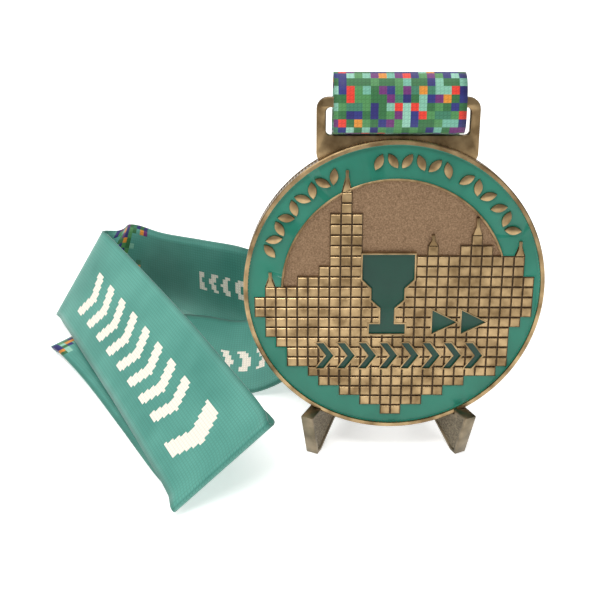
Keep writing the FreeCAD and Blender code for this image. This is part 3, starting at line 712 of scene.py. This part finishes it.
clear_selection()
bpy.ops.mesh.primitive_circle_add(vertices=256, radius=(ARC_RADIUS + ARC_LINE) * MM, fill_type="NGON",
                                  location=(0, 0, (FLOOR_LEVEL - 0.1) * MM))
sky = bpy.context.object
sky.name = "sky_and_arc"
bpy.ops.object.transform_apply(location=True)
edit(sky)
bpy.ops.mesh.bisect(plane_co=(0, (ROW_TOP - TILE_PITCH / 2) * MM, 0), plane_no=(0, 1, 0), clear_inner=True)
bpy.ops.mesh.select_all(action="SELECT")
bpy.ops.mesh.inset(thickness=ARC_LINE * MM)
bpy.ops.mesh.select_all(action="SELECT")
raise_face(SKY_LEVEL - FLOOR_LEVEL + 0.1)
select_faces(sky, lambda centre, normal: normal.z > 0.9 and centre.to_2d().length > ARC_RADIUS * MM
             and centre.z > (FLOOR_LEVEL + 0.05) * MM and not has_tile(centre))
raise_face(TILE_TOP - SKY_LEVEL - 0.1)
bpy.ops.mesh.inset(thickness=0.1 * MM, depth=0.1 * MM)
bpy.ops.mesh.select_all(action="SELECT")
bpy.ops.mesh.normals_make_consistent(inside=False)
leave_edit()
sky.data.materials.append(bronze)
sky.data.materials.append(blasted)
paint_faces(sky, 1, lambda centre, normal: normal.z > 0.9 and centre.z < (SKY_LEVEL + 0.05) * MM)
stand_up(sky)
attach(sky, "medal")

# ------------------------------------------------------------------ medal: recesses and their frames
# A cup, two pennants and a row of arrow heads are sunk in the field, each in a thin bright frame. The
# tall columns of the field carry narrow roofs, which stand on the tiles' own outline.
RECESS_FLOOR = 3.5
FRAME = 0.42
FRAME_TOP = 4.4
CORNER_REACH = 1.5
CUP = (
    (-1.4, -10.8), (2.8, -10.8), (2.8, -8.4), (0.2, -8.4), (0.2, -4.4), (2.4, -2.4), (2.4, 0.4),
    (4.6, 2.6), (4.6, 8.6), (-7.4, 8.6), (-7.4, 2.6), (-5.2, 0.4), (-5.2, -2.4), (-3.0, -4.4),
    (-3.0, -8.4), (-5.6, -8.4), (-5.6, -10.8),
)
MARK_ROW = {"left": -18.0, "count": 8, "pitch": 5.05, "foot": -19.6, "top": -13.2, "width": 4.1, "limb": 1.7}
PENNANTS = {"left": 9.2, "count": 2, "pitch": 6.9, "foot": -10.8, "top": -5.0, "width": 5.7}


def arrow_head(left, row):
    """A pointed band that runs towards the right."""
    middle = (row["foot"] + row["top"]) / 2
    point = left + row["width"]
    return [(left, row["foot"]), (left + row["limb"], row["foot"]), (point, middle),
            (left + row["limb"], row["top"]), (left, row["top"]), (point - row["limb"], middle)]


def pennant(left, row):
    """A small triangular flag."""
    return [(left, row["foot"]), (left + row["width"], (row["foot"] + row["top"]) / 2), (left, row["top"])]


def row_outlines(shape, row):
    return [shape(row["left"] + row["pitch"] * index, row) for index in range(row["count"])]


def grown(outline, distance):
    """The outline moved outwards all round, each corner kept sharp; outlines run anticlockwise."""
    corners = [Vector(corner) for corner in outline]
    moved = []
    for index, here in enumerate(corners):
        to_here = (here - corners[index - 1]).normalized()
        from_here = (corners[(index + 1) % len(corners)] - here).normalized()
        out_before = Vector((to_here.y, -to_here.x))
        out_after = Vector((from_here.y, -from_here.x))
        corner_way = (out_before + out_after).normalized()
        moved.append(tuple(here + corner_way * min(distance / corner_way.dot(out_before), CORNER_REACH * distance)))
    return moved


def anticlockwise(outline):
    area = sum(a[0] * b[1] - b[0] * a[1] for a, b in zip(outline, outline[1:] + outline[:1]))
    return list(outline) if area > 0 else list(reversed(outline))


marks = [anticlockwise(list(CUP))] + [anticlockwise(mark) for mark in
                                      row_outlines(pennant, PENNANTS) + row_outlines(arrow_head, MARK_ROW)]
cutter = flat_block("recess_cutter", [grown(mark, FRAME) for mark in marks], RECESS_FLOOR, DISC_THICK + 1, 0.0)
clear_selection()
bpy.context.view_layer.objects.active = field
field.select_set(True)
cut = field.modifiers.new("recesses", "BOOLEAN")
cut.operation = "DIFFERENCE"
cut.solver = "EXACT"
cut.object = cutter
bpy.ops.object.modifier_apply(modifier="recesses")
bpy.data.objects.remove(cutter)
for metal in (bronze, patina):
    field.data.materials.append(metal)
paint_faces(field, 1, lambda centre, normal: centre.z < (GROOVE_LEVEL + 0.02) * MM and normal.z > 0.9)
stand_up(field, 20)
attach(field, "medal")

frame_outlines = [outline for mark in marks for outline in (grown(mark, FRAME), mark)]
frames = flat_block("recess_frames", frame_outlines, RECESS_FLOOR - 0.05, FRAME_TOP, 0.1)
frames.data.materials.append(bronze)
stand_up(frames)
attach(frames, "medal")

ROOF_SHOULDER = 0.5
POST_HALF = 0.36
roofs = []
column = 0
for width, height, roof in SKYLINE:
    left = (column - TILE_COLUMNS / 2) * TILE_PITCH
    right = left + width * TILE_PITCH
    eaves = ROW_TOP + height * TILE_PITCH
    if roof:
        middle, tip = (left + right) / 2, eaves + roof * TILE_PITCH
        shoulder = eaves + ROOF_SHOULDER * (tip - eaves)
        roofs.append([(left + 0.2, eaves), (right - 0.2, eaves), (middle + POST_HALF, shoulder),
                      (middle + POST_HALF, tip), (middle - POST_HALF, tip), (middle - POST_HALF, shoulder)])
    column += width
roof_tops = flat_block("skyline_roofs", roofs, FLOOR_LEVEL - 0.05, TILE_TOP, 0.14)
roof_tops.data.materials.append(bronze)
stand_up(roof_tops)
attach(roof_tops, "medal")

# ------------------------------------------------------------------ medal: leaves round the ring
# Raised laurel leaves follow the ring in place of a legend, cast with the disc and rubbed bright.
LEAF_RADIUS = 30.3
LEAF_LENGTH = 4.0
LEAF_WIDTH = 2.0
LEAF_TOP = 4.35
# Each run of leaves: (first angle, last angle, how many), measured anticlockwise from the right.
LEAF_RUNS = [(162, 118, 9), (98, 68, 6), (59, 47, 3), (40, 28, 3)]


def leaf_outline(angle, lean):
    """A pointed oval that stands across the ring and leans along it."""
    out = Vector((math.cos(angle), math.sin(angle)))
    along = Vector((math.cos(angle + lean), math.sin(angle + lean)))
    side = Vector((-along.y, along.x))
    outline = []
    for step in range(12):
        share = step / 6 if step <= 6 else (12 - step) / 6
        half_width = LEAF_WIDTH / 2 * math.sin(math.pi * share) ** 0.8 * (1 if step < 6 else -1)
        outline.append(tuple(out * LEAF_RADIUS + along * (share - 0.5) * LEAF_LENGTH - side * half_width))
    return outline


leaves = []
for first, last, count in LEAF_RUNS:
    for index in range(count):
        angle = math.radians(first + (last - first) * index / (count - 1))
        leaves.append(leaf_outline(angle, math.radians(32 if index % 2 else -32)))
ring_leaves = flat_block("ring_leaves", leaves, FLOOR_LEVEL - 0.05, LEAF_TOP, 0.2)
ring_leaves.data.materials.append(bronze)
stand_up(ring_leaves, 40)
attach(ring_leaves, "medal")

# ------------------------------------------------------------------ enamel
# Soft enamel: coloured resin is run into the recesses by needle and baked. It sinks a little as it
# cures and climbs the metal at its edges.
MENISCUS_WIDTH = 0.3
MENISCUS_RISE = 0.14


def copy_of_node(name, node):
    """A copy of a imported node's mesh as a clean new piece, with its corners merged."""
    clear_selection()
    piece = bpy.data.objects.new(name, frame["nodes"][node].data.copy())
    bpy.context.scene.collection.objects.link(piece)
    piece.data.materials.clear()
    edit(piece)
    bpy.ops.mesh.remove_doubles(threshold=0.001 * MM)
    leave_edit()
    return piece


def enamel_material(name, deep, pale):
    """Baked soft enamel: a glossy skin over a colour that drifts slightly where it was run in."""
    enamel, tree, shader = new_material(name)
    spot = add_node(tree, "ShaderNodeTexCoord")
    drift = add_node(tree, "ShaderNodeTexNoise", {"Vector": spot.outputs["Object"], "Scale": 60.0, "Detail": 3.0})
    tone = add_node(tree, "ShaderNodeValToRGB", {"Fac": drift.outputs["Fac"]})
    tone.color_ramp.elements[0].position = 0.3
    tone.color_ramp.elements[0].color = colour(deep)
    tone.color_ramp.elements[1].position = 0.7
    tone.color_ramp.elements[1].color = colour(pale)
    tree.links.new(tone.outputs["Color"], shader.inputs["Base Color"])
    ripple = add_node(tree, "ShaderNodeTexNoise", {"Vector": spot.outputs["Object"], "Scale": 180.0})
    skin = add_node(tree, "ShaderNodeBump", {"Height": ripple.outputs["Fac"], "Strength": 0.15, "Distance": 0.1 * MM})
    tree.links.new(skin.outputs[0], shader.inputs["Normal"])
    shader.inputs["Roughness"].default_value = 0.22
    shader.inputs["Specular IOR Level"].default_value = 0.35
    return enamel


sea_enamel = enamel_material("teal_soft_enamel", "1D6A56", "297F6A")
dark_enamel = enamel_material("bottle_green_soft_enamel", "06352A", "0B4434")
to_drawing = MEDAL_PLACE.inverted()
for node, enamel, slot in (("enamel_ring_sea", sea_enamel, "teal_enamel"), ("enamel_cup", dark_enamel, "dark_enamel"),
                           ("enamel_pennants", dark_enamel, "dark_enamel"),
                           ("enamel_chevron_row", dark_enamel, "dark_enamel")):
    fill = copy_of_node(node + "_fill", node)
    fill.data.transform(to_drawing)
    fill.data.update()
    edit(fill)
    select_faces(fill, lambda centre, normal: normal.z > 0.9)
    bpy.ops.mesh.inset(thickness=MENISCUS_WIDTH * MM, depth=0)
    bpy.ops.transform.translate(value=(0, 0, -MENISCUS_RISE * MM))
    leave_edit()
    fill.data.materials.append(enamel)
    stand_up(fill, 12)
    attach(fill, "medal")
    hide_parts(node)

# The ring's enamel also fills the nook between the first roof and the arc.
NOOK_LEVEL = 3.84
NOOK_OVERLAP = 0.1
nook_left, nook_foot = (2 - TILE_COLUMNS / 2) * TILE_PITCH, ROW_TOP + TILE_PITCH
nook_right = -(ARC_RADIUS + ARC_LINE / 2)
nook = [(nook_left, nook_foot - NOOK_OVERLAP), (nook_right, nook_foot - NOOK_OVERLAP), (nook_right, nook_foot + 2.1),
        (nook_left - TILE_PITCH / 2, nook_foot + 3.5 + NOOK_OVERLAP)]
nook_fill = flat_block("enamel_nook_fill", [nook], FLOOR_LEVEL - 0.05, NOOK_LEVEL, 0.02)
nook_fill.data.materials.append(sea_enamel)
stand_up(nook_fill)
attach(nook_fill, "medal")

# ------------------------------------------------------------------ feet
# Two loose feet cast in zinc and plated like the medal. Each flat side has a smooth border round a
# sunk, blasted panel, and the notch grips the disc's edge.
PANEL_BORDER = 0.8
PANEL_DEPTH = 0.3
foot_plate, tree, shader = new_material("aged_plated_casting")
spot = add_node(tree, "ShaderNodeTexCoord")
bloom = add_node(tree, "ShaderNodeTexNoise", {"Vector": spot.outputs["Object"], "Scale": 220.0, "Detail": 4.0})
tone = add_node(tree, "ShaderNodeValToRGB", {"Fac": bloom.outputs["Fac"]})
tone.color_ramp.elements[0].position = 0.32
tone.color_ramp.elements[0].color = colour("575040")
tone.color_ramp.elements[1].position = 0.7
tone.color_ramp.elements[1].color = colour("948670")
tree.links.new(tone.outputs["Color"], shader.inputs["Base Color"])
shader.inputs["Metallic"].default_value = 1.0
shader.inputs["Roughness"].default_value = 0.4

foot_panel, tree, shader = new_material("blasted_foot_panel")
spot = add_node(tree, "ShaderNodeTexCoord")
pits = add_node(tree, "ShaderNodeTexNoise", {"Vector": spot.outputs["Object"], "Scale": 2200.0, "Detail": 3.0,
                                             "Roughness": 0.7})
tone = add_node(tree, "ShaderNodeValToRGB", {"Fac": pits.outputs["Fac"]})
tone.color_ramp.elements[0].position = 0.3
tone.color_ramp.elements[0].color = colour("4A4337")
tone.color_ramp.elements[1].position = 0.75
tone.color_ramp.elements[1].color = colour("A3967F")
tree.links.new(tone.outputs["Color"], shader.inputs["Base Color"])
pitted = add_node(tree, "ShaderNodeBump", {"Height": pits.outputs["Fac"], "Strength": 0.9, "Distance": 0.2 * MM})
tree.links.new(pitted.outputs[0], shader.inputs["Normal"])
shader.inputs["Metallic"].default_value = 0.85
shader.inputs["Roughness"].default_value = 0.6

for node, body in (("foot_left", "left_foot"), ("foot_right", "right_foot")):
    foot = copy_of_node(node + "_casting", node)
    edit(foot)
    bpy.ops.mesh.dissolve_limited(angle_limit=math.radians(1))
    leave_edit()
    largest = max(foot.data.polygons, key=lambda face: face.area)
    side_way = largest.normal.copy()
    edit(foot)
    select_faces(foot, lambda centre, normal: abs(normal.dot(side_way)) > 0.99)
    bpy.ops.mesh.inset(thickness=PANEL_BORDER * MM, depth=0)
    bpy.ops.mesh.inset(thickness=0.2 * MM, depth=-PANEL_DEPTH * MM)
    leave_edit()
    for metal in (foot_plate, foot_panel):
        foot.data.materials.append(metal)
    for face in foot.data.polygons:
        face.material_index = 1 if face.select else 0
    soften = foot.modifiers.new("cast_edges", "BEVEL")
    soften.width = 0.3 * MM
    soften.segments = 2
    soften.limit_method = "ANGLE"
    bpy.ops.object.modifier_apply(modifier="cast_edges")
    bpy.ops.object.shade_smooth_by_angle(angle=math.radians(30))
    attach(foot, body)
    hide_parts(node)
